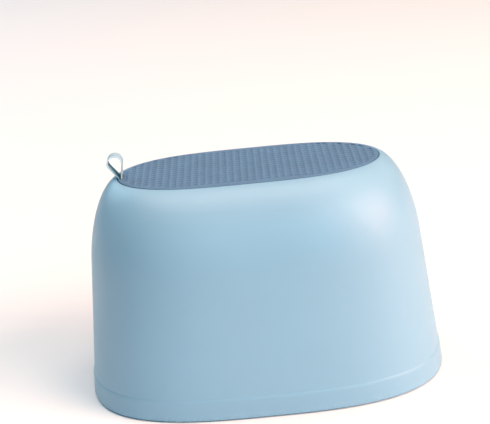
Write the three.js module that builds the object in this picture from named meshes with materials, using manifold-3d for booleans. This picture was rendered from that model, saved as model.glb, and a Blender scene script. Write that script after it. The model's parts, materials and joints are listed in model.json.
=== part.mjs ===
// A low oval shower stool: one deep injection-moulded shell with a flared foot band, a soft
// non-slip pad let into its seat, a small hanging strap at the left end of the pad, and six
// soft feet plugged into the underside of the rim.
//
// Units are millimetres. X runs along the stool, Y from front (-Y) to back (+Y) and Z up.
// The origin is on the floor, under the middle of the stool.
import * as THREE from "three";
import { mergeVertices } from "three/addons/utils/BufferGeometryUtils.js";
import Module from "manifold-3d";

const wasm = await Module();
wasm.setup();

// ---- driving dimensions ----
const LENGTH = 350; // over the foot band
const WIDTH = 240; // over the foot band
const HEIGHT = 210; // floor to the rim round the pad
const FOOT_PROUD = 1; // the rim stands this far off the floor, on its feet
const WALL = 3;
const FIT_GAP = 0.3; // free space left between two pieces that touch
const OVERSHOOT = 1; // joined and cutting solids run this far past the face they meet

// The foot band stands proud of the wall, and a rounded edge joins the two.
const BAND_HEIGHT = 21.4;
const BAND_STEP = 2.3;
const BAND_ROUND = 5.2;
const BAND_DRAFT = 1;
const RIM_ROUND = 1.2;

// The wall leans in as it rises, and a tall round shoulder carries it over to the seat.
const WALL_DRAFT = 0.1;
const WALL_LEVELS = [60, 98]; // heights of the sections between the band and the shoulder
const SHOULDER_HEIGHT = 76;
const SHOULDER_TURN = THREE.MathUtils.degToRad(83); // how far round its ellipse it goes
const OPENING_LENGTH = 254.4; // the oval recess that the pad lies in
const OPENING_WIDTH = 117.2;

// The plan is |x / a| ^ sides + |y / b| ^ ends = 1. A larger exponent gives flatter long sides
// or flatter ends.
const BASE_PLAN = { sides: 2.98, ends: 2.72 };
const SEAT_PLAN = { sides: 3.26, ends: 2 };

// The pad, its recess, and the seat deck below it.
const RECESS_DEPTH = 3.2;
const DECK_THICKNESS = 3;
const DECK_EDGE_INSET = 1; // the hollow's flat top is this much smaller than the recess
const PAD_THICKNESS = 3.7;
const PAD_PROUD = 0.7; // the pad's top stands this far above the rim
const PAD_CLEARANCE = 0.4;
const PAD_CHAMFER = 0.6;
const DECK_TOP = HEIGHT - RECESS_DEPTH;
const DECK_UNDER = DECK_TOP - DECK_THICKNESS;
const PAD_TOP = HEIGHT + PAD_PROUD;

// Studs under the pad push through holes in the deck and hold it with their barbed heads.
const STUD_RADIUS = 3;
const STUD_BARB_RADIUS = 4.2;
const STUD_TIP_RADIUS = 2.2;
const STUD_HEAD_HEIGHT = 4.4;
const STUD_BARB_EDGE = 1;
const STUD_COLUMNS = [-84, -42, 0, 42, 84];
const STUD_ROWS = [-36, 36];

// Stiffening ribs moulded under the deck.
const RIB_THICKNESS = 2.2;
const RIB_DEPTH = 7;
const CROSS_RIBS = [-105, -63, -21, 21, 63, 105];
const LONG_RIBS = [-20, 20];

// The strap: flat tape folded in a loop, both ends led down through a slot in the deck and
// round a cross pin that two snap forks hold under the deck.
const TAPE_WIDTH = 14;
const TAPE_THICKNESS = 1.2;
const STRAP_X = -123.3;
const STRAP_LEAN = THREE.MathUtils.degToRad(-11.5);
const STEM_HALF = 1.4; // half of two tape thicknesses and the space between them
const LOOP_RADIUS = 7.7;
const LOOP_CENTRE = 16.7; // above the hinge line
const LOOP_APEX = 0.3;
const LOOP_START = 0.5; // the moving part of the strap starts this far above the hinge line
const TAIL_START = 2; // and its fixed tail this far below
const TAIL_APEX = 5;
const SLOT_HALF_WIDTH = 2.1;
const SLOT_HALF_LENGTH = 8;
const NOTCH_DEPTH = 2.8; // how far the pad is cut back past the strap's line
const PIN_RADIUS = 1.8;
const PIN_LENGTH = 26;
const PIN_CHAMFER = 0.5;
const PIN_DROP = 6.1; // from the underside of the deck to the pin's axis
const FORK_Y = 10.5;
const FORK_THICKNESS = 3;
const FORK_WIDTH = 10;
const FORK_MOUTH = 3.2;
const FORK_LIP = 1; // how far the fork reaches below the pin

// Soft feet, each a long pad with two pegs that press into a lug inside the rim.
const FOOT_LENGTH = 32;
const FOOT_WIDTH = 8;
const FOOT_RECESS = 3;
const FOOT_CHAMFER = 0.5;
const FOOT_ROUND_STEPS = 6;
const FOOT_INSET = 6.8; // from the rim's inner face to the foot's centre line
const PEG_RADIUS = 2.4;
const PEG_TOP = 11.4;
const PEG_SPACING = 18;
const LUG_LENGTH = 40;
const LUG_DEPTH = 12.6;
const LUG_TOP = 15;
const LUG_ROUND = 3;
const LUG_ROUND_STEPS = 3;
const CORNER_FOOT_ANGLE = 33; // degrees round the oval from the X axis

const SEGMENTS = 64; // round the oval
const SHOULDER_STEPS = 8;
const ROUND_SEGMENTS = 12; // round a peg, stud or hole
const TAPE_FOLD_STEPS = 16; // half the facets round the fold of the strap

const COLOURS = {
  shell: 0xa3c4d8,
  pad: 0x6c8aa5,
  strap: 0xbfdde2,
  pin: 0xe4e9ea,
};

// ---- solids ----
function solidOf(geometry) {
  const bare = geometry.clone();
  bare.deleteAttribute("normal");
  bare.deleteAttribute("uv");
  const merged = mergeVertices(bare, 1e-3);
  return new wasm.Manifold(
    new wasm.Mesh({
      numProp: 3,
      vertProperties: merged.attributes.position.array,
      triVerts: new Uint32Array(merged.index.array),
    }),
  );
}

function geometryOf(solid) {
  const { vertProperties, triVerts, numProp, numVert } = solid.getMesh();
  const positions = new Float32Array(numVert * 3);
  for (let i = 0; i < numVert; i++) {
    positions.set(vertProperties.subarray(i * numProp, i * numProp + 3), i * 3);
  }
  const geometry = new THREE.BufferGeometry();
  geometry.setAttribute("position", new THREE.BufferAttribute(positions, 3));
  geometry.setIndex(new THREE.BufferAttribute(triVerts, 1));
  return geometry;
}

const union = (solids) => solids.reduce((all, one) => all.add(one));

function block(x0, x1, y0, y1, z0, z1) {
  const box = new THREE.BoxGeometry(x1 - x0, y1 - y0, z1 - z0);
  return solidOf(box.translate((x0 + x1) / 2, (y0 + y1) / 2, (z0 + z1) / 2));
}

// A solid of revolution about Z. The profile runs from the bottom of the axis to its top.
function turned(profile, segments = ROUND_SEGMENTS) {
  const points = profile.map(([radius, z]) => new THREE.Vector2(radius, z));
  return new THREE.LatheGeometry(points, segments).rotateX(Math.PI / 2);
}

const post = (radius, z0, z1) =>
  turned([
    [0, z0],
    [radius, z0],
    [radius, z1],
    [0, z1],
  ]);

// ---- the oval ----
// A level is one horizontal section of the stool: its height, half sizes and plan exponents.
function ovalPoint(level, angle) {
  const along = Math.cos(angle);
  const across = Math.sin(angle);
  return new THREE.Vector3(
    level.halfLength * Math.sign(along) * Math.abs(along) ** (2 / level.plan.sides),
    level.halfWidth * Math.sign(across) * Math.abs(across) ** (2 / level.plan.ends),
    level.z,
  );
}

// A closed solid through levels listed from the bottom up, capped flat at both ends.
function loft(levels) {
  const positions = [];
  const index = [];
  const rings = levels.length;
  for (const level of levels) {
    for (let i = 0; i < SEGMENTS; i++) {
      const point = ovalPoint(level, (2 * Math.PI * i) / SEGMENTS);
      positions.push(point.x, point.y, point.z);
    }
  }
  positions.push(0, 0, levels[0].z, 0, 0, levels[rings - 1].z);
  const bottomCentre = rings * SEGMENTS;
  for (let i = 0; i < SEGMENTS; i++) {
    const next = (i + 1) % SEGMENTS;
    for (let r = 0; r < rings - 1; r++) {
      const low = r * SEGMENTS;
      const high = low + SEGMENTS;
      index.push(low + i, low + next, high + next, low + i, high + next, high + i);
    }
    const top = (rings - 1) * SEGMENTS;
    index.push(bottomCentre, next, i, bottomCentre + 1, top + i, top + next);
  }
  const geometry = new THREE.BufferGeometry();
  geometry.setAttribute("position", new THREE.Float32BufferAttribute(positions, 3));
  geometry.setIndex(index);
  return geometry;
}

function planAt(z) {
  const share = THREE.MathUtils.clamp(z / HEIGHT, 0, 1);
  return {
    sides: THREE.MathUtils.lerp(BASE_PLAN.sides, SEAT_PLAN.sides, share),
    ends: THREE.MathUtils.lerp(BASE_PLAN.ends, SEAT_PLAN.ends, share),
  };
}

// A section inset by the same amount all round from the foot band's outline.
const bandLevel = (z, inset) => ({
  z,
  halfLength: LENGTH / 2 - inset,
  halfWidth: WIDTH / 2 - inset,
  plan: planAt(z),
});

const wallInset = (z) => BAND_STEP + WALL_DRAFT * (z - BAND_HEIGHT);

const ovalLevel = (z, halfLength, halfWidth) => ({
  z,
  halfLength,
  halfWidth,
  plan: SEAT_PLAN,
});

// The shoulder is part of an ellipse, set in from the leaning wall, that ends nearly level.
function shoulderLevels(top, height, inset, endHalfLength, endHalfWidth) {
  const wallAtTop = bandLevel(top, wallInset(top) + inset);
  const reachX = wallAtTop.halfLength - endHalfLength;
  const reachY = wallAtTop.halfWidth - endHalfWidth;
  const levels = [];
  for (let step = 0; step <= SHOULDER_STEPS; step++) {
    const angle = (step / SHOULDER_STEPS) * SHOULDER_TURN;
    const risen = Math.sin(angle) / Math.sin(SHOULDER_TURN);
    const turnedIn = (1 - Math.cos(angle)) / (1 - Math.cos(SHOULDER_TURN));
    const z = top - height + height * risen;
    const level = bandLevel(z, wallInset(z) + inset);
    level.halfLength -= reachX * turnedIn;
    level.halfWidth -= reachY * turnedIn;
    levels.push(level);
  }
  return levels;
}

function outerLevels() {
  const bandTop = BAND_HEIGHT - BAND_ROUND;
  const levels = [
    bandLevel(FOOT_PROUD, RIM_ROUND),
    bandLevel(FOOT_PROUD + RIM_ROUND, 0),
    bandLevel(bandTop, BAND_DRAFT),
  ];
  for (const share of [0.5, 1]) {
    const angle = (share * Math.PI) / 2;
    const inset = BAND_DRAFT + (BAND_STEP - BAND_DRAFT) * (1 - Math.cos(angle));
    levels.push(bandLevel(bandTop + BAND_ROUND * Math.sin(angle), inset));
  }
  for (const z of WALL_LEVELS) levels.push(bandLevel(z, wallInset(z)));
  levels.push(
    ...shoulderLevels(HEIGHT, SHOULDER_HEIGHT, 0, OPENING_LENGTH / 2, OPENING_WIDTH / 2),
  );
  return levels;
}

// The hollow inside, open at the floor. A positive growth reaches into the wall and the deck.
function cavityLevels(growth = 0) {
  const inset = WALL - growth;
  const top = DECK_UNDER + growth;
  const drop = HEIGHT - DECK_UNDER;
  const levels = [
    bandLevel(-OVERSHOOT, inset),
    bandLevel(BAND_HEIGHT - BAND_ROUND, inset + BAND_DRAFT),
    bandLevel(BAND_HEIGHT, inset + wallInset(BAND_HEIGHT)),
    ...WALL_LEVELS.map((z) => bandLevel(z, inset + wallInset(z))),
  ];
  levels.push(
    ...shoulderLevels(
      top,
      SHOULDER_HEIGHT - drop + WALL,
      inset,
      OPENING_LENGTH / 2 - DECK_EDGE_INSET,
      OPENING_WIDTH / 2 - DECK_EDGE_INSET,
    ),
  );
  return levels;
}

// ---- feet ----
// Where a foot sits: the middle of the foot on the rim, and which way is outwards.
function footPlace(angleDegrees) {
  const rim = bandLevel(0, WALL);
  const angle = THREE.MathUtils.degToRad(angleDegrees);
  const onRim = ovalPoint(rim, angle);
  const { sides, ends } = rim.plan;
  const along = Math.abs(onRim.x / rim.halfLength);
  const across = Math.abs(onRim.y / rim.halfWidth);
  const normal = new THREE.Vector3(
    (Math.sign(onRim.x) * sides * along ** (sides - 1)) / rim.halfLength,
    (Math.sign(onRim.y) * ends * across ** (ends - 1)) / rim.halfWidth,
    0,
  ).normalize();
  return {
    x: onRim.x - normal.x * FOOT_INSET,
    y: onRim.y - normal.y * FOOT_INSET,
    turn: Math.atan2(normal.y, normal.x) - Math.PI / 2,
  };
}

const FEET = {
  foot_rear_right: footPlace(CORNER_FOOT_ANGLE),
  foot_rear_middle: footPlace(90),
  foot_rear_left: footPlace(180 - CORNER_FOOT_ANGLE),
  foot_front_left: footPlace(180 + CORNER_FOOT_ANGLE),
  foot_front_middle: footPlace(270),
  foot_front_right: footPlace(-CORNER_FOOT_ANGLE),
};

const placed = (geometry, place) => geometry.rotateZ(place.turn).translate(place.x, place.y, 0);

// A slot-shaped outline: two half circles joined by straight sides.
function stadium(length, width) {
  const shape = new THREE.Shape();
  const straight = (length - width) / 2;
  shape.absarc(straight, 0, width / 2, -Math.PI / 2, Math.PI / 2, false);
  shape.absarc(-straight, 0, width / 2, Math.PI / 2, (3 * Math.PI) / 2, false);
  shape.closePath();
  return shape;
}

const extruded = (shape, z0, z1, curveSegments = FOOT_ROUND_STEPS) =>
  new THREE.ExtrudeGeometry(shape, {
    depth: z1 - z0,
    bevelEnabled: false,
    curveSegments,
  }).translate(0, 0, z0);

function footGeometry() {
  const sole = new THREE.ExtrudeGeometry(
    stadium(FOOT_LENGTH - 2 * FOOT_CHAMFER, FOOT_WIDTH - 2 * FOOT_CHAMFER),
    {
      depth: FOOT_PROUD + FOOT_RECESS - FIT_GAP - 2 * FOOT_CHAMFER,
      bevelThickness: FOOT_CHAMFER,
      bevelSize: FOOT_CHAMFER,
      bevelSegments: 1,
      curveSegments: FOOT_ROUND_STEPS,
    },
  ).translate(0, 0, FOOT_CHAMFER);
  const pegs = [-1, 1].map((side) => {
    const peg = post(PEG_RADIUS, FOOT_CHAMFER + OVERSHOOT, PEG_TOP);
    return solidOf(peg.translate((side * PEG_SPACING) / 2, 0, 0));
  });
  return geometryOf(union([solidOf(sole), ...pegs]));
}

// The lug that holds a foot reaches out into the wall. Its inner corners are round.
function lugSolid(place) {
  const half = LUG_LENGTH / 2;
  const inner = -(LUG_DEPTH - FOOT_INSET);
  const outer = FOOT_INSET + 2 * WALL;
  const shape = new THREE.Shape();
  shape.moveTo(half, outer);
  shape.lineTo(-half, outer);
  shape.lineTo(-half, inner + LUG_ROUND);
  shape.absarc(-half + LUG_ROUND, inner + LUG_ROUND, LUG_ROUND, Math.PI, 1.5 * Math.PI, false);
  shape.absarc(half - LUG_ROUND, inner + LUG_ROUND, LUG_ROUND, 1.5 * Math.PI, 2 * Math.PI, false);
  shape.closePath();
  return solidOf(placed(extruded(shape, FOOT_PROUD, LUG_TOP, LUG_ROUND_STEPS), place));
}

function footHole(place) {
  const bed = stadium(FOOT_LENGTH + 2 * FIT_GAP, FOOT_WIDTH + 2 * FIT_GAP);
  const bores = [-1, 1].map((side) =>
    solidOf(
      placed(
        post(PEG_RADIUS + FIT_GAP, 0, PEG_TOP + FIT_GAP).translate((side * PEG_SPACING) / 2, 0, 0),
        place,
      ),
    ),
  );
  return union([solidOf(placed(extruded(bed, 0, FOOT_PROUD + FOOT_RECESS), place)), ...bores]);
}

// ---- strap and its pin ----
const PIN_Z = DECK_UNDER - PIN_DROP;

// A length of tape folded round a circle: the fold, and a stem where its two legs lie together.
// The outline is drawn upwards from the hinge line, then turned so that the tape's width is Y.
// The legs leave the circle as tangents that would meet at the apex.
function foldedTape(radius, centre, apex, stemStart) {
  const legAngle = Math.asin(radius / (centre - apex));
  const parting = apex + STEM_HALF / Math.tan(legAngle);
  const outline = new THREE.Shape();
  outline.moveTo(-STEM_HALF, stemStart);
  outline.lineTo(STEM_HALF, stemStart);
  outline.lineTo(STEM_HALF, parting);
  outline.absarc(0, centre, radius, -legAngle, Math.PI + legAngle, false);
  outline.lineTo(-STEM_HALF, parting);
  const innerRadius = radius - TAPE_THICKNESS;
  const opening = new THREE.Path();
  opening.absarc(0, centre, innerRadius, -legAngle, Math.PI + legAngle, false);
  opening.lineTo(0, centre - innerRadius / Math.sin(legAngle));
  outline.holes.push(opening);
  return extruded(outline, -TAPE_WIDTH / 2, TAPE_WIDTH / 2, TAPE_FOLD_STEPS).rotateX(Math.PI / 2);
}

function pinGeometry() {
  const half = PIN_LENGTH / 2;
  const end = PIN_RADIUS - PIN_CHAMFER;
  return turned([
    [0, -half],
    [end, -half],
    [PIN_RADIUS, -half + PIN_CHAMFER],
    [PIN_RADIUS, half - PIN_CHAMFER],
    [end, half],
    [0, half],
  ]).rotateX(Math.PI / 2);
}

// Snap forks under the deck: the pin is pushed up past a mouth narrower than itself.
function forkSolids() {
  return [-1, 1].map((side) =>
    block(
      STRAP_X - FORK_WIDTH / 2,
      STRAP_X + FORK_WIDTH / 2,
      side * FORK_Y - FORK_THICKNESS / 2,
      side * FORK_Y + FORK_THICKNESS / 2,
      PIN_Z - PIN_RADIUS - FORK_LIP,
      DECK_UNDER + OVERSHOOT,
    ),
  );
}

function forkCuts() {
  const reach = PIN_LENGTH / 2 + OVERSHOOT;
  const seat = post(PIN_RADIUS + FIT_GAP, -reach, reach).rotateX(Math.PI / 2);
  const mouth = block(
    STRAP_X - FORK_MOUTH / 2,
    STRAP_X + FORK_MOUTH / 2,
    -reach,
    reach,
    PIN_Z - PIN_RADIUS - FORK_LIP - OVERSHOOT,
    PIN_Z,
  );
  return [solidOf(seat.translate(STRAP_X, 0, PIN_Z)), mouth];
}

// ---- pad and shell ----
function padStud(x, y) {
  const neck = DECK_UNDER - FIT_GAP;
  const stud = turned([
    [0, neck - STUD_HEAD_HEIGHT],
    [STUD_TIP_RADIUS, neck - STUD_HEAD_HEIGHT],
    [STUD_BARB_RADIUS, neck - STUD_BARB_EDGE],
    [STUD_BARB_RADIUS, neck],
    [STUD_RADIUS, neck],
    [STUD_RADIUS, DECK_TOP + OVERSHOOT],
    [0, DECK_TOP + OVERSHOOT],
  ]);
  return solidOf(stud.translate(x, y, 0));
}

const studPlaces = STUD_COLUMNS.flatMap((x) => STUD_ROWS.map((y) => [x, y]));

function padGeometry() {
  const halfLength = OPENING_LENGTH / 2 - PAD_CLEARANCE;
  const halfWidth = OPENING_WIDTH / 2 - PAD_CLEARANCE;
  const mat = loft([
    ovalLevel(PAD_TOP - PAD_THICKNESS, halfLength, halfWidth),
    ovalLevel(PAD_TOP - PAD_CHAMFER, halfLength, halfWidth),
    ovalLevel(PAD_TOP, halfLength - PAD_CHAMFER, halfWidth - PAD_CHAMFER),
  ]);
  const notch = block(
    -LENGTH / 2,
    STRAP_X + NOTCH_DEPTH,
    -SLOT_HALF_LENGTH,
    SLOT_HALF_LENGTH,
    DECK_TOP,
    PAD_TOP + OVERSHOOT,
  );
  const studs = studPlaces.map(([x, y]) => padStud(x, y));
  return geometryOf(union([solidOf(mat), ...studs]).subtract(notch));
}

function ribSolids() {
  const low = DECK_UNDER - RIB_DEPTH;
  const high = DECK_UNDER + OVERSHOOT;
  const half = RIB_THICKNESS / 2;
  const along = LONG_RIBS.map((y) =>
    block(-LENGTH / 2, LENGTH / 2, y - half, y + half, low, high),
  );
  const across = CROSS_RIBS.map((x) =>
    block(x - half, x + half, -WIDTH / 2, WIDTH / 2, low, high),
  );
  return [...along, ...across];
}

function shellGeometry() {
  const recess = loft([
    ovalLevel(DECK_TOP, OPENING_LENGTH / 2, OPENING_WIDTH / 2),
    ovalLevel(HEIGHT + OVERSHOOT, OPENING_LENGTH / 2, OPENING_WIDTH / 2),
  ]);
  const skin = solidOf(loft(outerLevels()))
    .subtract(solidOf(loft(cavityLevels())))
    .subtract(solidOf(recess));
  const places = Object.values(FEET);
  const inside = union([...ribSolids(), ...places.map(lugSolid), ...forkSolids()]).intersect(
    solidOf(loft(cavityLevels(OVERSHOOT))),
  );
  const studHoles = studPlaces.map(([x, y]) =>
    solidOf(
      post(STUD_RADIUS + FIT_GAP, DECK_UNDER - OVERSHOOT, DECK_TOP + OVERSHOOT).translate(x, y, 0),
    ),
  );
  const strapSlot = block(
    STRAP_X - SLOT_HALF_WIDTH,
    STRAP_X + SLOT_HALF_WIDTH,
    -SLOT_HALF_LENGTH,
    SLOT_HALF_LENGTH,
    DECK_UNDER - OVERSHOOT,
    DECK_TOP + OVERSHOOT,
  );
  const cuts = union([...places.map(footHole), ...studHoles, strapSlot, ...forkCuts()]);
  return geometryOf(skin.add(inside).subtract(cuts));
}

// ---- the scene graph ----
const plastic = (color) => new THREE.MeshStandardMaterial({ color, roughness: 0.45, metalness: 0 });
const soft = (color) => new THREE.MeshStandardMaterial({ color, roughness: 0.8, metalness: 0 });

function part(name, geometry, material) {
  const mesh = new THREE.Mesh(geometry, material);
  mesh.name = name;
  return mesh;
}

const stool = new THREE.Group();
stool.add(part("body_shell", shellGeometry(), plastic(COLOURS.shell)));
stool.add(part("seat_pad", padGeometry(), soft(COLOURS.pad)));

for (const [name, place] of Object.entries(FEET)) {
  const foot = part(name, footGeometry(), soft(COLOURS.pad));
  foot.position.set(place.x, place.y, 0);
  foot.rotation.z = place.turn;
  stool.add(foot);
}

// The strap above the deck turns about the hinge line at the rim's level. The tail below it
// hangs straight down through the slot and stays still.
const strapAnchor = new THREE.Group();
strapAnchor.position.set(STRAP_X, 0, HEIGHT);
stool.add(strapAnchor);

const loop = foldedTape(LOOP_RADIUS, LOOP_CENTRE, LOOP_APEX, LOOP_START);
const carryLoop = part("carry_loop", loop, soft(COLOURS.strap));
carryLoop.rotation.y = STRAP_LEAN;
strapAnchor.add(carryLoop);

const tailRadius = PIN_RADIUS + FIT_GAP + TAPE_THICKNESS;
const tail = foldedTape(tailRadius, HEIGHT - PIN_Z, TAIL_APEX, TAIL_START);
const strapTail = part("strap_tail", tail, soft(COLOURS.strap));
strapTail.rotation.x = Math.PI;
strapAnchor.add(strapTail);

const crossPin = part("strap_cross_pin", pinGeometry(), plastic(COLOURS.pin));
crossPin.position.set(0, 0, PIN_Z - HEIGHT);
strapAnchor.add(crossPin);

export default stool;
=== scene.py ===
"""An oval shower stool: a deep moulded shell, a mat with small pockets let into its seat, a
hanging strap of woven tape at the mat's left end, and soft feet under its rim.

Everything is in metres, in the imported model's frame: +X along the stool, away from the strap,
+Y to the back, +Z up, with the origin on the floor.
"""

import json
import math

import bmesh
import bpy
import numpy as np
from mathutils import Matrix, Vector


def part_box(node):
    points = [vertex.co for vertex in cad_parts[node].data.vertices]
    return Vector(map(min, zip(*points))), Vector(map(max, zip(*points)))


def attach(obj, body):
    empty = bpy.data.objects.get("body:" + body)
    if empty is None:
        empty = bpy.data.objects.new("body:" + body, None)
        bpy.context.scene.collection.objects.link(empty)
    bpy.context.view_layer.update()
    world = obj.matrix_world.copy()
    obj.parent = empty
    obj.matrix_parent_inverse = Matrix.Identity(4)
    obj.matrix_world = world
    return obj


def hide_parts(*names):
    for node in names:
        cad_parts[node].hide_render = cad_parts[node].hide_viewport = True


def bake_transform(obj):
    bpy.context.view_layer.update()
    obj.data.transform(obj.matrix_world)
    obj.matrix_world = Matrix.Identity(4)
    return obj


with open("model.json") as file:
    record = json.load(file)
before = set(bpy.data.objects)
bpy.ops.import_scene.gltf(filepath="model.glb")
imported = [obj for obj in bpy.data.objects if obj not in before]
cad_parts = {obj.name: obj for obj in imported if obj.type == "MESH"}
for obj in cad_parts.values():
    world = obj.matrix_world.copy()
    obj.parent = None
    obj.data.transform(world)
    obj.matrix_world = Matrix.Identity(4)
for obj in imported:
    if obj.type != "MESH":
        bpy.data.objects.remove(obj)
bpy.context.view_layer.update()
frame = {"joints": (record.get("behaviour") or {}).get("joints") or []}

scene = bpy.context.scene
MM = 0.001

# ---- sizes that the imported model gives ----
SHELL_LOW, SHELL_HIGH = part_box("body_shell")
PIN_LOW, PIN_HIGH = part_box("strap_cross_pin")
HINGE = Vector(frame["joints"][0]["pos_m"])

LENGTH = SHELL_HIGH.x - SHELL_LOW.x
WIDTH = SHELL_HIGH.y - SHELL_LOW.y
SEAT_Z = SHELL_HIGH.z
FOOT_PROUD = SHELL_LOW.z
STRAP_X = HINGE.x
PIN_Z = (PIN_LOW.z + PIN_HIGH.z) / 2
MAT_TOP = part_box("seat_pad")[1].z
CENTRE = Vector((0, 0, SEAT_Z / 2))

# ---- sizes of the shell ----
WALL = 3 * MM
BAND_HEIGHT = 21.4 * MM
BAND_STEP = 2.3 * MM  # how far the foot band stands proud of the wall
BAND_ROUND = 5.2 * MM
BAND_DRAFT = 1 * MM
BAND_FILLET = 0.9 * MM
RIM_ROUND = 1.2 * MM
RIM_INNER_ROUND = 0.6 * MM
WALL_DRAFT = 0.1  # how far in the wall leans for each unit of height
SHOULDER_HEIGHT = 76 * MM
SHOULDER_TURN = math.radians(83)  # how far round its ellipse the shoulder goes
OPENING_LENGTH = 254.4 * MM  # of the recess in the seat, where the mat lies
OPENING_WIDTH = 117.2 * MM
# The plan is |x / a| ** sides + |y / b| ** ends = 1, and these are (sides, ends).
BASE_PLAN = (2.98, 2.72)
SEAT_PLAN = (3.26, 2.0)
LIP_ROUND = 0.6 * MM
RECESS_DEPTH = 3.2 * MM
RECESS_FILLET = 0.4 * MM
DECK_THICKNESS = 3 * MM
DECK_EDGE_INSET = 1 * MM
DECK_TOP = SEAT_Z - RECESS_DEPTH
DECK_UNDER = DECK_TOP - DECK_THICKNESS
OVERSHOOT = 1 * MM  # how far a cutting solid runs past what it cuts

# ---- how finely the curved surfaces are divided ----
SEGMENTS = 288  # round the oval
ARC_SAMPLES = 40001  # along the oval, when its length is measured
WALL_STEPS = 10
INNER_HEIGHTS = [z * MM for z in (40, 60, 80, 100, 120)]  # sections of the hollow's wall
SHOULDER_STEPS = 40
INNER_SHOULDER_STEPS = 28
LIP_STEPS = 6
BAND_STEPS = 9
RIM_STEPS = 4
INNER_RIM_STEPS = 3
LUG_STEPS = 6
PAD_EDGE_STEPS = 8
STRAP_STEPS = 300
UPPER_FOLD_STEPS = 64
LOWER_FOLD_STEPS = 40

# ---- sizes of what is moulded inside the shell ----
RIB_THICKNESS = 2.2 * MM
RIB_DEPTH = 7 * MM
CROSS_RIBS = [x * MM for x in (-105, -63, -21, 21, 63, 105)]
LONG_RIBS = [y * MM for y in (-20, 20)]
STUD_COLUMNS = [x * MM for x in (-84, -42, 0, 42, 84)]
STUD_ROWS = [y * MM for y in (-36, 36)]
STUD_RADIUS = 3 * MM
STUD_BARB_RADIUS = 4.2 * MM
STUD_TIP_RADIUS = 2.2 * MM
STUD_END_RADIUS = 1.32 * MM  # of the flat end, which a chamfer joins to the tip
STUD_END_HEIGHT = 0.44 * MM  # of that chamfer
STUD_HEAD_HEIGHT = 4.4 * MM
STUD_BARB_EDGE = 1 * MM
STUD_BARB_WIDEST = 0.6  # share of the way down that edge where the barb is widest
STUD_BARB_EASED = 0.97  # share of the barb's radius that its two corners keep
FIT_GAP = 0.3 * MM  # between pieces that fit into each other
SLOT_HALF_WIDTH = 2.1 * MM
SLOT_HALF_LENGTH = 8 * MM
FORK_Y = 10.5 * MM
FORK_THICKNESS = 3 * MM
FORK_WIDTH = 10 * MM
FORK_MOUTH = 3.2 * MM
FORK_LIP = 1 * MM
PIN_RADIUS = 1.8 * MM

# ---- sizes of the feet ----
FOOT_LENGTH = 32 * MM
FOOT_WIDTH = 8 * MM
FOOT_RECESS = 3 * MM
FOOT_TOP = FOOT_PROUD + FOOT_RECESS - FIT_GAP
PEG_RADIUS = 2.4 * MM
PEG_TOP = 11.4 * MM
PEG_SPACING = 18 * MM
LUG_LENGTH = 40 * MM
LUG_TOP = 15 * MM
LUG_INNER = 5.8 * MM
LUG_OUTER = 12.8 * MM
LUG_ROUND = 3 * MM
TREAD_DEPTH = 0.5 * MM
TREAD_WIDTH = 0.9 * MM
TREAD_PITCH = 2.6 * MM
TREADS_EACH_SIDE = 4
CHAMFER = 0.5 * MM  # of the feet and of the strap's pin
CHAMFER_ROUND = 0.3  # share of the sole's chamfer where a point between its ends rounds it
FEET = [
    "foot_front_left",
    "foot_front_middle",
    "foot_front_right",
    "foot_rear_left",
    "foot_rear_middle",
    "foot_rear_right",
]

# ---- sizes of the mat ----
PAD_CLEARANCE = 0.7 * MM
PAD_BASE = DECK_TOP + 0.2 * MM
PAD_EDGE_WIDTH = 2.4 * MM  # the mat rounds down to its edge over this width
PAD_EDGE_DROP = 1.1 * MM
POCKET_PITCH_X = 6.8 * MM
POCKET_PITCH_Y = 6.8 * MM
POCKET_LENGTH = 4.9 * MM
POCKET_WIDTH = 4.7 * MM
POCKET_DEPTH = 0.85 * MM
POCKET_ROUND = 1.1 * MM
POCKET_FLARE = 0.25 * MM  # how far the mouth widens, over the same height
POCKET_FLOOR_INSET = 0.45 * MM
POCKET_CORNER_INSET = 0.25 * MM  # the floor turns up into the sides here
POCKET_CORNER_HEIGHT = 0.15 * MM  # and this far up
PAD_BORDER = 4.2 * MM
GATE_RADIUS = 0.8 * MM  # the small dimple left where the mat was moulded from
GATE_DEPTH = 0.4 * MM
NOTCH_DEPTH = 2.2 * MM  # how far past the strap's middle the mat is cut away for it
NOTCH_ROUND = 1.5 * MM

# ---- sizes of the strap ----
TAPE_WIDTH = 14 * MM
TAPE_THICKNESS = 1.2 * MM
LOOP_RADIUS = 7.7 * MM
LOOP_CENTRE = 16.4 * MM
LOOP_LEAN = math.radians(-14)
LEG_SPREAD = 0.8 * MM  # from the middle of the stem to the middle of each tape
UPPER_STEM = 0.5 * MM  # the legs run side by side below this height over the hinge
LOWER_STEM = 7 * MM  # and down to this depth below it
EASING_PASSES = 12  # which take the corners off the strap's line
TAPE_EDGE_ROUND = 0.95  # as a share of half the tape's thickness
INNER_SHADE_LOW = 1 * MM  # over the hinge, where the painted shade on the loop's inside is full
INNER_SHADE_HIGH = 15 * MM  # and where it has gone

# ---- camera ----
CAMERA_DISTANCE = 1.29
CAMERA_ELEVATION = math.radians(21.6)
CAMERA_LENS = 95.4  # mm
CAMERA_SENSOR = 36  # mm
CAMERA_ROLL = math.radians(-5.67)
AIM_UP = math.radians(2.41)  # above the stool's middle
AIM_LEFT = math.radians(0.35)  # and to the left of it


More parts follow.
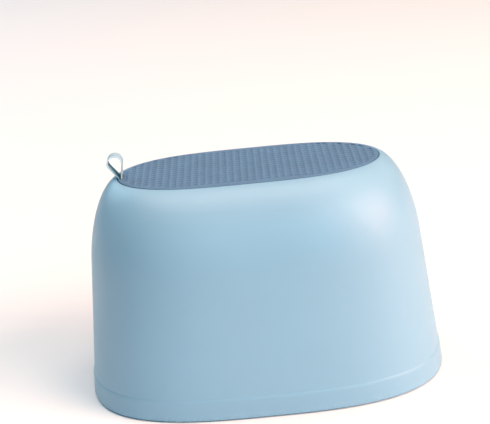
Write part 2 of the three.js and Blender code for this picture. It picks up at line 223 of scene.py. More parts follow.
def make_camera():
    data = bpy.data.cameras.new("camera")
    data.lens = CAMERA_LENS
    data.sensor_width = CAMERA_SENSOR
    data.clip_start = 0.05
    data.clip_end = 30
    camera = bpy.data.objects.new("camera", data)
    scene.collection.objects.link(camera)
    away = Vector((0, -math.cos(CAMERA_ELEVATION), math.sin(CAMERA_ELEVATION)))
    camera.location = CENTRE + CAMERA_DISTANCE * away
    pitch = math.pi / 2 - CAMERA_ELEVATION + AIM_UP
    turned = (
        Matrix.Rotation(AIM_LEFT, 4, "Z")
        @ Matrix.Rotation(pitch, 4, "X")
        @ Matrix.Rotation(CAMERA_ROLL, 4, "Z")
    )
    camera.rotation_euler = turned.to_euler()
    scene.camera = camera


make_camera()


# ---- mesh helpers ----
def mesh_object(name, vertices, faces):
    """An object on a new mesh, with its faces turned outwards."""
    mesh = bpy.data.meshes.new(name)
    mesh.from_pydata([tuple(v) for v in vertices], [], faces)
    mesh.validate()
    work = bmesh.new()
    work.from_mesh(mesh)
    bmesh.ops.recalc_face_normals(work, faces=work.faces)
    work.to_mesh(mesh)
    work.free()
    obj = bpy.data.objects.new(name, mesh)
    scene.collection.objects.link(obj)
    return obj


def combine(obj, tool, operation):
    """Joins a closed tool to obj, cuts it out of obj or keeps what they share."""
    cut = obj.modifiers.new("cut", "BOOLEAN")
    cut.operation = operation
    cut.solver = "MANIFOLD"
    cut.object = tool
    bpy.context.view_layer.update()
    made = bpy.data.meshes.new_from_object(
        obj.evaluated_get(bpy.context.evaluated_depsgraph_get())
    )
    made.name = obj.name
    obj.modifiers.clear()
    obj.data = made
    bpy.data.objects.remove(tool)
    return obj


def shade(obj, sharp_degrees):
    """Smooth shading, with edges left sharp where they turn by more than an angle."""
    obj.data.shade_smooth()
    obj.data.set_sharp_from_angle(angle=math.radians(sharp_degrees))


def merged(name, parts):
    """One object that holds several closed meshes, which may not touch."""
    vertices, faces = [], []
    for part_vertices, part_faces in parts:
        base = len(vertices)
        vertices.extend(part_vertices)
        faces.extend([tuple(base + i for i in face) for face in part_faces])
    return mesh_object(name, vertices, faces)


def rings_to_mesh(rings, closed=False):
    """A closed mesh through rings of points. The ends are capped, or joined when it is closed."""
    count = len(rings[0])
    vertices = [tuple(point) for ring in rings for point in ring]
    faces = []
    spans = len(rings) if closed else len(rings) - 1
    for r in range(spans):
        low, high = r * count, (r + 1) % len(rings) * count
        for i in range(count):
            j = (i + 1) % count
            faces.append((low + i, low + j, high + j, high + i))
    if not closed:
        faces.append(tuple(reversed(range(count))))
        top = (len(rings) - 1) * count
        faces.append(tuple(range(top, top + count)))
    return vertices, faces


def prism(outline, low, high):
    """An upright prism on a list of (x, y) points."""
    return rings_to_mesh([[(x, y, z) for x, y in outline] for z in (low, high)])


def block(x0, x1, y0, y1, z0, z1):
    """An upright box between two places on each axis."""
    return prism([(x0, y0), (x1, y0), (x1, y1), (x0, y1)], z0, z1)


def quarter_turn(steps):
    """Angles from 0 to 90 degrees, in equal steps."""
    return [step / steps * math.pi / 2 for step in range(steps + 1)]


def circle(x, y, radius, steps=32):
    """The outline of a circle about a point."""
    angles = [2 * math.pi * i / steps for i in range(steps)]
    return [(x + radius * math.cos(a), y + radius * math.sin(a)) for a in angles]


def rounded_box(half_x, half_y, radius, steps=5):
    """The outline of a rectangle with round corners, about the origin."""
    points = []
    for corner, (sx, sy) in enumerate([(1, 1), (-1, 1), (-1, -1), (1, -1)]):
        for i in range(steps):
            a = (corner + i / (steps - 1)) * math.pi / 2
            x = sx * (half_x - radius) + radius * math.cos(a)
            y = sy * (half_y - radius) + radius * math.sin(a)
            points.append((x, y))
    return points


# ---- the oval ----
def oval(half_length, half_width, plan, angles):
    """The x and y of an oval's points, one for each angle."""
    along, across = np.cos(angles), np.sin(angles)
    x = half_length * np.sign(along) * np.abs(along) ** (2 / plan[0])
    y = half_width * np.sign(across) * np.abs(across) ** (2 / plan[1])
    return x, y


def even_angles(half_length, half_width, plan, count):
    """Angles that place an oval's points at equal distances round it."""
    fine = np.linspace(0, 2 * math.pi, ARC_SAMPLES)
    x, y = oval(half_length, half_width, plan, fine)
    walked = np.concatenate([[0], np.cumsum(np.hypot(np.diff(x), np.diff(y)))])
    return np.interp(np.arange(count) / count * walked[-1], walked, fine)


ANGLES = even_angles(LENGTH / 2, WIDTH / 2, BASE_PLAN, SEGMENTS)


def plan_at(z):
    """The plan at a height, between the base's on the floor and the seat's."""
    share = min(max(z / SEAT_Z, 0), 1)
    return tuple(low + (high - low) * share for low, high in zip(BASE_PLAN, SEAT_PLAN))


# A level is one section of the stool: its height, half length, half width and plan.
def band_level(z, inset):
    """A section set in by a distance from the foot band's widest outline."""
    return z, LENGTH / 2 - inset, WIDTH / 2 - inset, plan_at(z)


def seat_level(z, grow=0.0):
    """A section of the recess in the seat, grown outwards, or inwards if that is below 0."""
    return z, OPENING_LENGTH / 2 + grow, OPENING_WIDTH / 2 + grow, SEAT_PLAN


def wall_inset(z):
    """How far the leaning wall is set in at a height."""
    return BAND_STEP + WALL_DRAFT * (z - BAND_HEIGHT)


def shoulder_levels(top, height, inset, end_grow, steps):
    """From the leaning wall up to the seat, as part of an ellipse set in from the wall."""
    _, wall_length, wall_width, _ = band_level(top, wall_inset(top) + inset)
    _, end_length, end_width, _ = seat_level(top, end_grow)
    levels = []
    for step in range(steps + 1):
        a = step / steps * SHOULDER_TURN
        turned_in = (1 - math.cos(a)) / (1 - math.cos(SHOULDER_TURN))
        z = top - height + height * math.sin(a) / math.sin(SHOULDER_TURN)
        _, length, width, plan = band_level(z, wall_inset(z) + inset)
        length -= (wall_length - end_length) * turned_in
        width -= (wall_width - end_width) * turned_in
        levels.append((z, length, width, plan))
    return levels


def loft(levels, first_pole, last_pole):
    """A closed mesh through oval levels, closed by a fan at each end round a point."""
    vertices = [(0, 0, first_pole)]
    for z, length, width, plan in levels:
        x, y = oval(length, width, plan, ANGLES)
        vertices.extend(zip(x, y, [z] * SEGMENTS))
    vertices.append((0, 0, last_pole))
    last = len(vertices) - 1
    end = last - SEGMENTS
    faces = []
    for i in range(SEGMENTS):
        j = (i + 1) % SEGMENTS
        faces.append((0, 1 + i, 1 + j))
        for r in range(len(levels) - 1):
            low, high = 1 + r * SEGMENTS, 1 + (r + 1) * SEGMENTS
            faces.append((low + i, high + i, high + j, low + j))
        faces.append((end + i, last, end + j))
    return vertices, faces


# ---- the shell ----
def band_levels():
    """The outside of the foot band, from the wall above it down to the bottom of the rim."""
    levels = []
    top_round = BAND_HEIGHT - BAND_ROUND
    for share in (1, 0.5, 0):
        z = BAND_HEIGHT + BAND_FILLET * share
        levels.append(band_level(z, wall_inset(z) - (1 - share) ** 2 * BAND_FILLET / 3))
    for a in reversed(quarter_turn(BAND_STEPS)[:-1]):
        inset = BAND_DRAFT + (BAND_STEP - BAND_DRAFT) * (1 - math.cos(a))
        levels.append(band_level(top_round + BAND_ROUND * math.sin(a), inset))
    for share in (0.75, 0.5, 0.25, 0):
        low = FOOT_PROUD + RIM_ROUND
        levels.append(band_level(low + (top_round - low) * share, BAND_DRAFT * share))
    for a in quarter_turn(RIM_STEPS)[1:]:
        inset = RIM_ROUND * (1 - math.cos(a))
        levels.append(band_level(FOOT_PROUD + RIM_ROUND * (1 - math.sin(a)), inset))
    return levels


def outer_levels():
    """The outside, from the bed in the seat over the lip and down to the rim."""
    levels = [seat_level(DECK_TOP, -RECESS_FILLET), seat_level(DECK_TOP + RECESS_FILLET)]
    for a in quarter_turn(LIP_STEPS):
        z = SEAT_Z - LIP_ROUND * (1 - math.sin(a))
        levels.append(seat_level(z, LIP_ROUND * (1 - math.cos(a))))
    shoulder = shoulder_levels(SEAT_Z, SHOULDER_HEIGHT, 0, LIP_ROUND, SHOULDER_STEPS)
    levels.extend(reversed(shoulder[:-1]))
    wall_top = SEAT_Z - SHOULDER_HEIGHT
    wall_low = BAND_HEIGHT + 2 * BAND_FILLET
    for step in reversed(range(WALL_STEPS)):
        z = wall_low + (wall_top - wall_low) * (step / WALL_STEPS)
        levels.append(band_level(z, wall_inset(z)))
    return levels + band_levels()


def inner_levels(growth=0.0):
    """The hollow, from inside the foot band up to the deck, grown into what surrounds it."""
    inset = WALL - growth
    top = DECK_UNDER + growth
    levels = [
        band_level(BAND_HEIGHT - BAND_ROUND, inset + BAND_DRAFT),
        band_level(BAND_HEIGHT, inset + wall_inset(BAND_HEIGHT)),
    ]
    for z in INNER_HEIGHTS:
        levels.append(band_level(z, inset + wall_inset(z)))
    height = SHOULDER_HEIGHT - (SEAT_Z - DECK_UNDER) + WALL
    shoulder = shoulder_levels(top, height, inset, -DECK_EDGE_INSET, INNER_SHOULDER_STEPS)
    return levels + shoulder


def inner_rim_levels():
    """The rim's inner edge, from its bottom up into the hollow."""
    levels = []
    for a in quarter_turn(INNER_RIM_STEPS):
        inset = WALL - RIM_INNER_ROUND * (1 - math.sin(a))
        z = FOOT_PROUD + RIM_INNER_ROUND * (1 - math.cos(a))
        levels.append(band_level(z, inset))
    return levels


def foot_place(name):
    """Where a foot is, and the turn that sets its length along the rim."""
    low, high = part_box(name)
    centre = (low + high) / 2
    _, half_length, half_width, (sides, ends) = band_level(0, WALL)
    # The oval's outward slope where it passes the foot.
    across = abs(centre.x / half_length) ** (sides - 1) * sides / half_length
    along = abs(centre.y / half_width) ** (ends - 1) * ends / half_width
    outward = math.atan2(math.copysign(along, centre.y), math.copysign(across, centre.x))
    turn = outward - math.pi / 2
    return Matrix.Translation((centre.x, centre.y, 0)) @ Matrix.Rotation(turn, 4, "Z")


def placed(part, matrix):
    """A part's vertices and faces, moved by a matrix."""
    vertices, faces = part
    return [tuple(matrix @ Vector(v)) for v in vertices], faces


def stadium(length, width, steps=16):
    """The outline of a bar with half-round ends, along x about the origin."""
    radius = width / 2
    middle = (length - width) / 2
    points = []
    for side in (0, 1):
        for i in range(steps + 1):
            a = -math.pi / 2 + math.pi * (side + i / steps)
            x = (middle if side == 0 else -middle) + radius * math.cos(a)
            points.append((x, radius * math.sin(a)))
    return points


def lug_outline():
    """A foot's lug from below: square against the wall, and round-cornered inside the hollow."""
    half = LUG_LENGTH / 2
    points = [(half, LUG_OUTER), (-half, LUG_OUTER)]
    for side, x in ((math.pi, -half + LUG_ROUND), (1.5 * math.pi, half - LUG_ROUND)):
        for a in quarter_turn(LUG_STEPS):
            y = -LUG_INNER + LUG_ROUND + LUG_ROUND * math.sin(side + a)
            points.append((x + LUG_ROUND * math.cos(side + a), y))
    return points


def ribs():
    """The grid of ribs under the deck. Their ends are cut to the hollow later."""
    low, high = DECK_UNDER - RIB_DEPTH, DECK_UNDER + OVERSHOOT
    half = RIB_THICKNESS / 2
    along = [block(-LENGTH / 2, LENGTH / 2, y - half, y + half, low, high) for y in LONG_RIBS]
    across = [block(x - half, x + half, -WIDTH / 2, WIDTH / 2, low, high) for x in CROSS_RIBS]
    return combine(merged("inside", along), merged("across", across), "UNION")


def fork(side):
    """One of the two forks under the deck that the strap's pin snaps into."""
    return block(
        STRAP_X - FORK_WIDTH / 2,
        STRAP_X + FORK_WIDTH / 2,
        side * FORK_Y - FORK_THICKNESS / 2,
        side * FORK_Y + FORK_THICKNESS / 2,
        PIN_Z - PIN_RADIUS - FORK_LIP,
        DECK_UNDER + OVERSHOOT,
    )


def moulded_inside():
    """Ribs, foot lugs and the strap's forks, as one tool clipped to the hollow."""
    lugs = [placed(prism(lug_outline(), FOOT_PROUD, LUG_TOP), foot_place(n)) for n in FEET]
    tool = combine(ribs(), merged("lugs", lugs + [fork(side) for side in (-1, 1)]), "UNION")
    low_levels = [band_level(-OVERSHOOT, WALL - OVERSHOOT)]
    hollow = loft(low_levels + inner_levels(OVERSHOOT), -OVERSHOOT, DECK_UNDER + OVERSHOOT)
    return combine(tool, mesh_object("hollow", *hollow), "INTERSECT")


def foot_seats():
    """A recess for each foot and the bores for its two pegs."""
    bed = stadium(FOOT_LENGTH + 2 * FIT_GAP, FOOT_WIDTH + 2 * FIT_GAP)
    beds, bores = [], []
    for name in FEET:
        place = foot_place(name)
        beds.append(placed(prism(bed, 0, FOOT_PROUD + FOOT_RECESS), place))
        for side in (-1, 1):
            bore = circle(side * PEG_SPACING / 2, 0, PEG_RADIUS + FIT_GAP)
            bores.append(placed(prism(bore, 0, PEG_TOP + FIT_GAP), place))
    return combine(merged("cuts", beds), merged("bores", bores), "UNION")


def deck_holes():
    """The holes for the mat's studs and the slot for the strap."""
    low, high = DECK_UNDER - OVERSHOOT, DECK_TOP + OVERSHOOT
    holes = [
        prism(circle(x, y, STUD_RADIUS + FIT_GAP), low, high)
        for x in STUD_COLUMNS
        for y in STUD_ROWS
    ]
    slot = [
        (STRAP_X + x, y)
        for x, y in rounded_box(SLOT_HALF_WIDTH, SLOT_HALF_LENGTH, SLOT_HALF_WIDTH / 2)
    ]
    return merged("holes", holes + [prism(slot, low, high)])


def shell_cuts():
    """Everything cut out of the shell: foot seats, deck holes and the way into the forks."""
    cuts = combine(foot_seats(), deck_holes(), "UNION")
    reach = PIN_HIGH.y + OVERSHOOT
    seat = circle(STRAP_X, PIN_Z, PIN_RADIUS + FIT_GAP)
    bed = rings_to_mesh([[(x, y, z) for x, z in seat] for y in (-reach, reach)])
    combine(cuts, mesh_object("bed", *bed), "UNION")
    half = FORK_MOUTH / 2
    mouth_low = PIN_Z - PIN_RADIUS - FORK_LIP - OVERSHOOT
    mouth = block(STRAP_X - half, STRAP_X + half, -reach, reach, mouth_low, PIN_Z)
    return combine(cuts, mesh_object("mouth", *mouth), "UNION")


def make_shell():
    levels = outer_levels() + inner_rim_levels() + inner_levels()
    shell = mesh_object("stool_shell", *loft(levels, DECK_TOP, DECK_UNDER))
    combine(shell, moulded_inside(), "UNION")
    combine(shell, shell_cuts(), "DIFFERENCE")
    shade(shell, sharp_degrees=28)
    return shell


# ---- the mat ----
def pad_levels():
    """The mat without its pockets and studs, from its underside up to its rounded edge."""
    edge = -PAD_CLEARANCE
    levels = [seat_level(PAD_BASE, edge - FIT_GAP), seat_level(PAD_BASE + FIT_GAP, edge)]
    for a in quarter_turn(PAD_EDGE_STEPS):
        z = MAT_TOP - PAD_EDGE_DROP * (1 - math.sin(a))
        levels.append(seat_level(z, edge - PAD_EDGE_WIDTH * (1 - math.cos(a))))
    levels.append(seat_level(MAT_TOP, edge - PAD_EDGE_WIDTH - FIT_GAP))
    return levels


def pocket(x, y):
    """One pocket's cutting solid: a floor, sloping sides and a flared mouth."""
    rings = []
    for z, grow in (
        (-POCKET_DEPTH, -POCKET_FLOOR_INSET),
        (-POCKET_DEPTH + POCKET_CORNER_HEIGHT, -POCKET_CORNER_INSET),
        (-POCKET_FLARE, 0),
        (0, POCKET_FLARE),
        (OVERSHOOT, POCKET_FLARE),
    ):
        outline = rounded_box(POCKET_LENGTH / 2 + grow, POCKET_WIDTH / 2 + grow, POCKET_ROUND)
        rings.append([(x + px, y + py, MAT_TOP + z) for px, py in outline])
    return rings_to_mesh(rings)


def inside_oval(x, y, inset):
    """Whether a point lies inside the recess in the seat, by more than an inset."""
    half_length = OPENING_LENGTH / 2 - inset
    half_width = OPENING_WIDTH / 2 - inset
    sides, ends = SEAT_PLAN
    return (abs(x) / half_length) ** sides + (abs(y) / half_width) ** ends < 1


def pocket_places():
    """The pockets' centres: a straight grid, as far as they lie inside the mat's plain border."""
    columns = int(OPENING_LENGTH / 2 / POCKET_PITCH_X) + 1
    rows = int(OPENING_WIDTH / 2 / POCKET_PITCH_Y) + 1
    places = []
    for i in range(-columns, columns):
        for j in range(-rows, rows + 1):
            x, y = (i + 0.5) * POCKET_PITCH_X, j * POCKET_PITCH_Y
            if inside_oval(x, y, PAD_BORDER):
                places.append((x, y))
    return places


def stud(x, y):
    """A barbed stud that holds the mat down through a hole in the deck."""
    neck = DECK_UNDER - FIT_GAP
    rings = []
    for z, radius in (
        (neck - STUD_HEAD_HEIGHT, STUD_END_RADIUS),
        (neck - STUD_HEAD_HEIGHT + STUD_END_HEIGHT, STUD_TIP_RADIUS),
        (neck - STUD_BARB_EDGE, STUD_BARB_RADIUS * STUD_BARB_EASED),
        (neck - STUD_BARB_EDGE * STUD_BARB_WIDEST, STUD_BARB_RADIUS),
        (neck, STUD_BARB_RADIUS * STUD_BARB_EASED),
        (neck, STUD_RADIUS),
        (PAD_BASE + OVERSHOOT, STUD_RADIUS),
    ):
        rings.append([(px, py, z) for px, py in circle(x, y, radius)])
    return rings_to_mesh(rings)


def pad_pockets():
    """The grid of pockets as one tool, cut off where it meets the mat's plain border."""
    pockets = merged("pockets", [pocket(x, y) for x, y in pocket_places()])
    _, length, width, plan = seat_level(SEAT_Z, -PAD_BORDER)
    x, y = oval(length, width, plan, ANGLES)
    inside = prism(list(zip(x, y)), PAD_BASE, MAT_TOP + 2 * OVERSHOOT)
    return combine(pockets, mesh_object("inside_border", *inside), "INTERSECT")


def pad_notch():
    """The cut in the mat's left end that lets the strap through."""
    notch_end = STRAP_X + NOTCH_DEPTH
    half = (notch_end + LENGTH / 2) / 2
    outline = [
        (notch_end - half + x, y)
        for x, y in rounded_box(half, SLOT_HALF_LENGTH, NOTCH_ROUND, steps=8)
    ]
    return mesh_object("notch", *prism(outline, DECK_TOP, MAT_TOP + OVERSHOOT))


def pad_gate():
    """The dimple, between the four pockets nearest the middle of the mat."""
    outline = circle(0, POCKET_PITCH_Y / 2, GATE_RADIUS)
    return mesh_object("gate", *prism(outline, MAT_TOP - GATE_DEPTH, MAT_TOP + OVERSHOOT))


def make_pad():
    pad = mesh_object("seat_mat", *loft(pad_levels(), PAD_BASE, MAT_TOP))
    studs = [stud(x, y) for x in STUD_COLUMNS for y in STUD_ROWS]
    combine(pad, merged("studs", studs), "UNION")
    for tool in (pad_pockets(), pad_notch(), pad_gate()):
        combine(pad, tool, "DIFFERENCE")
    shade(pad, sharp_degrees=40)
    return pad


# ---- the strap ----
def fold(radius, centre, stem, steps):
    """The tape's middle line round one fold, as (x, z) points from its right leg to its left."""
    # The legs leave the circle as tangents that come to the stem's width at its end.
    leg = math.asin((radius - LEG_SPREAD) / (centre - stem))
    points = []
    for i in range(steps + 1):
        a = -leg + (math.pi + 2 * leg) * i / steps
        points.append((radius * math.cos(a), centre + radius * math.sin(a)))
    return points


def strap_path():
    """The whole strap as one closed band: the loop, two legs in the slot and the fold below."""
    lean = Matrix.Rotation(-LOOP_LEAN, 2)
    upper_radius = LOOP_RADIUS - TAPE_THICKNESS / 2
    upper = fold(upper_radius, LOOP_CENTRE, UPPER_STEM, UPPER_FOLD_STEPS)
    upper.append((-LEG_SPREAD, UPPER_STEM))
    upper.insert(0, (LEG_SPREAD, UPPER_STEM))
    lower_radius = PIN_RADIUS + FIT_GAP + TAPE_THICKNESS / 2
    lower = fold(lower_radius, SEAT_Z - PIN_Z, LOWER_STEM, LOWER_FOLD_STEPS)
    path = [tuple(lean @ Vector(point)) for point in upper]
    path.append((-LEG_SPREAD, -LOWER_STEM))
    path.extend((-x, -z) for x, z in lower)
    path.append((LEG_SPREAD, -LOWER_STEM))
    return path


def smooth_closed(points, count):
    """Evenly spaced points along a closed line through the given ones, its corners eased.

    How far along the line each point lay before the easing is given too.
    """
    closed = np.array(points + points[:1])
    walked = np.concatenate([[0], np.cumsum(np.hypot(*np.diff(closed, axis=0).T))])
    even = np.linspace(0, walked[-1], count, endpoint=False)
    line = np.stack([np.interp(even, walked, closed[:, k]) for k in (0, 1)], axis=1)
    for _ in range(EASING_PASSES):
        line = (np.roll(line, 1, 0) + 2 * line + np.roll(line, -1, 0)) / 4
    return line, even


def make_strap():
    line, along = smooth_closed(strap_path(), STRAP_STEPS)
    tangent = np.roll(line, -1, 0) - np.roll(line, 1, 0)
    tangent /= np.linalg.norm(tangent, axis=1)[:, None]
    normal = np.stack([tangent[:, 1], -tangent[:, 0]], axis=1)
    half, thick = TAPE_WIDTH / 2, TAPE_THICKNESS / 2
    section = rounded_box(half, thick, thick * TAPE_EDGE_ROUND, steps=7)
    rings = []
    for (x, z), (nx, nz) in zip(line, normal):
        ring = [(x + out * nx, across, z + out * nz) for across, out in section]
        rings.append([(STRAP_X + px, py, SEAT_Z + pz) for px, py, pz in ring])
    strap = mesh_object("hanging_strap", *rings_to_mesh(rings, closed=True))
    # The weave runs along the tape, so each point keeps how far along the tape it lies.
    distance = strap.data.attributes.new("along_tape", "FLOAT", "POINT")
    distance.data.foreach_set("value", np.repeat(along, len(section)))
    # Painted shade: the loop's inside is darker near the seat, and less so further up.
    inner_shade = np.interp(line[:, 1], [INNER_SHADE_LOW, INNER_SHADE_HIGH], [1, 0])
    inside = [1.0 if out < 0 else 0.0 for _, out in section]
    inner_shade_attribute = strap.data.attributes.new("painted_shade_inside", "FLOAT", "POINT")
    inner_shade_attribute.data.foreach_set("value", np.outer(inner_shade, inside).ravel())
    shade(strap, sharp_degrees=60)
    return strap


# ---- feet and pin ----
def foot_body(name):
    """A foot lying along x at the origin, with its edges chamfered."""
    rings = []
    for z, inset in (
        (0, CHAMFER),
        (CHAMFER * CHAMFER_ROUND, CHAMFER * CHAMFER_ROUND),
        (CHAMFER, 0),
        (FOOT_TOP - CHAMFER, 0),
        (FOOT_TOP, CHAMFER),
    ):
        outline = stadium(FOOT_LENGTH - 2 * inset, FOOT_WIDTH - 2 * inset)
        rings.append([(x, y, z) for x, y in outline])
    return mesh_object(name + "_fine", *rings_to_mesh(rings))


def foot_grooves():
    """Shallow grooves across the sole."""
    reach = FOOT_WIDTH / 2 + OVERSHOOT
    half = TREAD_WIDTH / 2
    middles = [i * TREAD_PITCH for i in range(-TREADS_EACH_SIDE, TREADS_EACH_SIDE + 1)]
    cuts = [block(x - half, x + half, -reach, reach, -OVERSHOOT, TREAD_DEPTH) for x in middles]
    return merged("grooves", cuts)


def make_foot(name):
    foot = foot_body(name)
    pegs = [
        prism(circle(side * PEG_SPACING / 2, 0, PEG_RADIUS), FOOT_PROUD, PEG_TOP)
        for side in (-1, 1)
    ]
    combine(foot, merged("pegs", pegs), "UNION")
    combine(foot, foot_grooves(), "DIFFERENCE")
    foot.data.transform(foot_place(name))
    shade(foot, sharp_degrees=40)
    return foot


def make_pin():
    """The pin that the strap goes round under the deck, chamfered at both ends."""
    rings = []
    for y, inset in (
        (PIN_LOW.y, CHAMFER),
        (PIN_LOW.y + CHAMFER, 0),
        (PIN_HIGH.y - CHAMFER, 0),
        (PIN_HIGH.y, CHAMFER),
    ):
        outline = circle(STRAP_X, PIN_Z, PIN_RADIUS - inset)
        rings.append([(x, y, z) for x, z in outline])
    pin = mesh_object("strap_pin", *rings_to_mesh(rings))
    shade(pin, sharp_degrees=40)
    return pin


# ---- materials ----
SHELL_COLOUR = (0.265, 0.462, 0.602)
MAT_COLOUR = (0.092, 0.192, 0.315)
# Painted shade down in the mat's pockets; the feet's soles are given it too.
POCKET_SHADE_COLOUR = (0.073, 0.158, 0.262)
RUBBER_COLOUR = (0.09, 0.17, 0.27)
TAPE_COLOUR = (0.43, 0.63, 0.73)
# The painted shade in the weave's crevices.
TAPE_CREVICE_SHADE_COLOUR = (0.26, 0.44, 0.52)
# The colour of the painted shade on the loop's inside, near the seat.
TAPE_INNER_SHADE_COLOUR = (0.10, 0.24, 0.27)
PIN_COLOUR = (0.68, 0.72, 0.73)
THREAD_PITCH = 0.5 * MM  # between neighbouring threads across the tape
PICK_PITCH = 0.7 * MM  # and along it
SELVEDGE = 0.8 * MM  # the firmer woven border of the tape
SELVEDGE_RISE = 0.3  # share of its width over which the weave passes into it
SELVEDGE_TINT = 1.25
SCUFF_HEIGHT = 9 * MM  # the shell is scuffed below this
SCUFF_TINT = 1.14
SCUFF_ROUGHNESS = 0.18
NOISE_LOW, NOISE_HIGH = 0.3, 0.7  # most of what a noise node gives lies between these


def tinted(colour, amount):
    """A colour made lighter or darker, with its opacity added."""
    return (*[channel * amount for channel in colour], 1)


def new_material(name):
    material = bpy.data.materials.new(name)
    material.use_nodes = True
    return material, material.node_tree.nodes["Principled BSDF"]


def node(material, kind, settings=None, **inputs):
    """Adds a node. Each input is a value or another node's socket.

    An input is named by its socket, or by an underscore and the socket's number.
    """
    made = material.node_tree.nodes.new("ShaderNode" + kind)
    for key, value in (settings or {}).items():
        setattr(made, key, value)
    for key, value in inputs.items():
        number = key[1:]
        socket = made.inputs[int(number) if number.isdigit() else key.replace("_", " ")]
        if isinstance(value, bpy.types.NodeSocket):
            material.node_tree.links.new(value, socket)
        else:
            socket.default_value = value
    return made


def noise(material, scale, detail):
    """Seamless noise in the piece's own space."""
    place = node(material, "TexCoord").outputs["Object"]
    return node(material, "TexNoise", Vector=place, Scale=scale, Detail=detail).outputs["Fac"]


def ramp(material, value, start, end, low=0.0, high=1.0):
    """A number that runs from low to high while the value runs from start to end."""
    made = node(material, "MapRange", Value=value, To_Min=low, To_Max=high)
    made.inputs["From Min"].default_value = start
    made.inputs["From Max"].default_value = end
    return made.outputs["Result"]


def between(material, factor, low, high):
    """A number that varies with noise, from low to high."""
    return ramp(material, factor, NOISE_LOW, NOISE_HIGH, low, high)


def mixed(material, factor, low, high):
    """A colour between two others. Each may be a colour or a socket."""
    mix = node(material, "Mix", {"data_type": "RGBA"}, _0=factor, _6=low, _7=high)
    return mix.outputs[2]


def scaled(material, colour, amount):
    """A colour socket times a number socket."""
    return node(material, "VectorMath", {"operation": "SCALE"}, _0=colour, _3=amount).outputs[0]


def math_node(material, operation, first, second=0.0):
    return node(material, "Math", {"operation": operation}, _0=first, _1=second).outputs[0]


def own_place(material, axis):
    """Where a point of the piece lies along one axis of the frame."""
    place = node(material, "TexCoord").outputs["Object"]
    return node(material, "SeparateXYZ", Vector=place).outputs[axis]


def connect(material, shader, colour, roughness, height, depth, strength):
    """Links a colour, a roughness and a bump's height to the shader."""
    links = material.node_tree.links
    links.new(colour, shader.inputs["Base Color"])
    links.new(roughness, shader.inputs["Roughness"])
    bump = node(material, "Bump", Height=height, Strength=strength, Distance=depth)
    links.new(bump.outputs["Normal"], shader.inputs["Normal"])


def satin_plastic():
    """Pale blue polypropylene with a fine moulded grain, a little scuffed near the floor."""
    material, shader = new_material("satin_plastic")
    clouds = between(material, noise(material, scale=11, detail=3), 0, 1)
    colour = mixed(material, clouds, tinted(SHELL_COLOUR, 0.975), tinted(SHELL_COLOUR, 1.02))
    up = ramp(material, own_place(material, "Z"), FOOT_PROUD, SCUFF_HEIGHT)
    low = math_node(material, "SUBTRACT", 1.0, up)
    # The marks run well past 0 and 1, so that they stand apart once they are cut off there.
    marks = between(material, noise(material, scale=420, detail=4), -1.4, 1.4)
    scuffs = math_node(material, "MAXIMUM", math_node(material, "MULTIPLY", low, marks), 0.0)
    scuffs = math_node(material, "MINIMUM", scuffs, 1.0)
    colour = mixed(material, scuffs, colour, tinted(SHELL_COLOUR, SCUFF_TINT))
    gloss = between(material, noise(material, scale=55, detail=3), 0.38, 0.47)
    dulled = math_node(material, "MULTIPLY", scuffs, SCUFF_ROUGHNESS)
    gloss = math_node(material, "ADD", gloss, dulled)
    grain = noise(material, scale=1700, detail=3)
    connect(material, shader, colour, gloss, grain, depth=0.06 * MM, strength=0.25)
    return material


def soft_rubber(name, colour, shade_colour, full_shade_z, shade_end_z):
    """Matt thermoplastic rubber, paler where feet rub it, and darker below a height: painted shade
    in the mat's pockets, and darker soles on the feet.
    """
    material, shader = new_material(name)
    shader.inputs["Sheen Weight"].default_value = 0.06
    shader.inputs["Sheen Roughness"].default_value = 0.5
    # Painted shade: the colour darkens below the given heights.
    up = ramp(material, own_place(material, "Z"), full_shade_z, shade_end_z)
    base = mixed(material, up, (*shade_colour, 1), (*colour, 1))
    rubbed = between(material, noise(material, scale=38, detail=4), 0.94, 1.08)
    speckle = between(material, noise(material, scale=900, detail=2), 0.95, 1.05)
    tint = scaled(material, base, math_node(material, "MULTIPLY", rubbed, speckle))
    gloss = between(material, noise(material, scale=140, detail=3), 0.58, 0.74)
    grain = noise(material, scale=1500, detail=3)
    connect(material, shader, tint, gloss, grain, depth=0.08 * MM, strength=0.4)
    return material


def woven_tape():
    """Plain-woven flat tape: threads along it and across it pass over and under each other."""
    material, shader = new_material("woven_tape")
    shader.inputs["Sheen Weight"].default_value = 0.25
    shader.inputs["Sheen Roughness"].default_value = 0.4
    along = node(material, "Attribute", {"attribute_name": "along_tape"}).outputs["Fac"]
    across = own_place(material, "Y")
    turns = [
        math_node(material, "SINE", math_node(material, "MULTIPLY", distance, math.pi / pitch))
        for distance, pitch in ((along, PICK_PITCH), (across, THREAD_PITCH))
    ]
    ridge = math_node(material, "ABSOLUTE", math_node(material, "MULTIPLY", *turns))
    # Painted shade: the weave is darker in the crevices where its threads dip.
    threads = mixed(material, ridge, (*TAPE_CREVICE_SHADE_COLOUR, 1), (*TAPE_COLOUR, 1))
    border_start = TAPE_WIDTH / 2 - SELVEDGE
    border_end = border_start + SELVEDGE * SELVEDGE_RISE
    edge = math_node(material, "ABSOLUTE", across)
    border = ramp(material, edge, border_start, border_end)
    colour = mixed(material, border, threads, tinted(TAPE_COLOUR, SELVEDGE_TINT))
    # Painted shade on the loop's inside, darkest near the seat.
    inner_shade = node(material, "Attribute", {"attribute_name": "painted_shade_inside"}).outputs["Fac"]
    colour = mixed(material, inner_shade, colour, (*TAPE_INNER_SHADE_COLOUR, 1))
    worn = between(material, noise(material, scale=90, detail=3), 0.93, 1.05)
    colour = scaled(material, colour, worn)
    fibre = noise(material, scale=2600, detail=3)
    gloss = between(material, fibre, 0.7, 0.88)
    height = math_node(material, "ADD", ridge, math_node(material, "MULTIPLY", fibre, 0.5))
    connect(material, shader, colour, gloss, height, depth=0.15 * MM, strength=0.7)
    return material


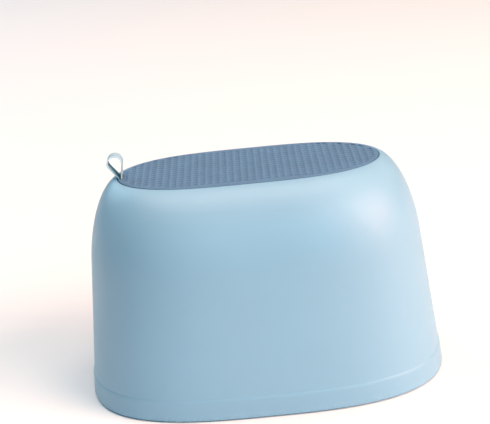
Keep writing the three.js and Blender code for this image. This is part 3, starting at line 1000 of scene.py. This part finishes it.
def pin_plastic():
    """Natural moulded plastic with a slight cloudiness."""
    material, shader = new_material("pin_plastic")
    clouds = between(material, noise(material, scale=160, detail=3), 0, 1)
    colour = mixed(material, clouds, tinted(PIN_COLOUR, 0.95), tinted(PIN_COLOUR, 1.03))
    gloss = between(material, noise(material, scale=500, detail=2), 0.34, 0.48)
    grain = noise(material, scale=1900, detail=2)
    connect(material, shader, colour, gloss, grain, depth=0.05 * MM, strength=0.2)
    return material


def finish_piece(obj, material, slot, *nodes):
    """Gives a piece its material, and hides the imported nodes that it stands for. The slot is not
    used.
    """
    obj.data.materials.clear()
    obj.data.materials.append(material)
    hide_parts(*nodes)


shell = make_shell()
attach(shell, "stool")
finish_piece(shell, satin_plastic(), "shell", "body_shell")

pad = make_pad()
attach(pad, "stool")
# The pockets get painted shade, darkest at their floors.
mat_rubber = soft_rubber(
    "mat_rubber", MAT_COLOUR, POCKET_SHADE_COLOUR, MAT_TOP - POCKET_DEPTH, MAT_TOP - POCKET_FLARE
)
finish_piece(pad, mat_rubber, "pad", "seat_pad")

strap = make_strap()
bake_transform(strap)
finish_piece(strap, woven_tape(), "strap", "carry_loop", "strap_tail")

# The soles are given the pockets' painted shade colour below half the grooves' depth; the grooves'
# floors keep the rubber's own colour.
foot_rubber = soft_rubber("foot_rubber", RUBBER_COLOUR, POCKET_SHADE_COLOUR, TREAD_DEPTH / 2, TREAD_DEPTH)
for foot_name in FEET:
    foot = make_foot(foot_name)
    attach(foot, "stool")
    finish_piece(foot, foot_rubber, "feet", foot_name)

pin = make_pin()
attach(pin, "stool")
finish_piece(pin, pin_plastic(), "pin", "strap_cross_pin")


# ---- floor, lamps and backdrop ----
FLOOR_RADIUS = 3.2
PALE_GREY = (0.86, 0.86, 0.86, 1)
WORLD_COLOUR = (0.5, 0.8, 1, 1)
WORLD_STRENGTH = 0.01
# Each lamp's name, place, size, power in watts and colour.
LAMPS = [
    ("key", (3.4, -2.15, 3.1), (3, 3), 190, (1, 0.81, 0.67)),
    ("low_key", (3.9, -1.2, 1.5), (3, 2.4), 145, (1, 0.52, 0.39)),
    ("top", (0, 0.25, 4.7), (5, 3.5), 214, (1, 0.82, 0.73)),
    ("left_back", (-2.8, 3.2, 2.6), (2.5, 2.5), 88, (0.56, 0.82, 0.98)),
    ("front", (1.2, -4.6, 2.25), (3.5, 3), 86, (0.21, 0.69, 0.96)),
]


def make_floor():
    """A round pale floor, no larger than the lamps light evenly."""
    material, shader = new_material("pale_floor")
    shader.inputs["Base Color"].default_value = PALE_GREY
    shader.inputs["Roughness"].default_value = 0.75
    edge = [(x, y, 0) for x, y in circle(0, 0, FLOOR_RADIUS, steps=128)]
    floor = mesh_object("floor", edge, [tuple(range(len(edge)))])
    floor.data.materials.append(material)


def make_lamp(name, place, size, power, colour):
    """A soft oblong lamp that faces the middle of the stool."""
    data = bpy.data.lights.new(name, "AREA")
    data.shape = "RECTANGLE"
    data.size, data.size_y = size
    data.energy = power
    data.color = colour
    lamp = bpy.data.objects.new(name, data)
    lamp.location = place
    aim = CENTRE - Vector(place)
    lamp.rotation_euler = aim.to_track_quat("-Z", "Y").to_euler()
    scene.collection.objects.link(lamp)


def make_world():
    """A faint light from all round, and a pale backdrop that shows but gives no light."""
    world = bpy.data.worlds.new("studio")
    world.use_nodes = True
    nodes, links = world.node_tree.nodes, world.node_tree.links
    faint = nodes["Background"]
    faint.inputs["Color"].default_value = WORLD_COLOUR
    faint.inputs["Strength"].default_value = WORLD_STRENGTH
    backdrop = nodes.new("ShaderNodeBackground")
    backdrop.inputs["Color"].default_value = PALE_GREY
    rays = nodes.new("ShaderNodeLightPath")
    either = nodes.new("ShaderNodeMixShader")
    links.new(rays.outputs["Is Camera Ray"], either.inputs[0])
    links.new(faint.outputs[0], either.inputs[1])
    links.new(backdrop.outputs[0], either.inputs[2])
    links.new(either.outputs[0], nodes["World Output"].inputs["Surface"])
    scene.world = world


make_floor()
for lamp_values in LAMPS:
    make_lamp(*lamp_values)
make_world()
scene.view_settings.view_transform = "Standard"
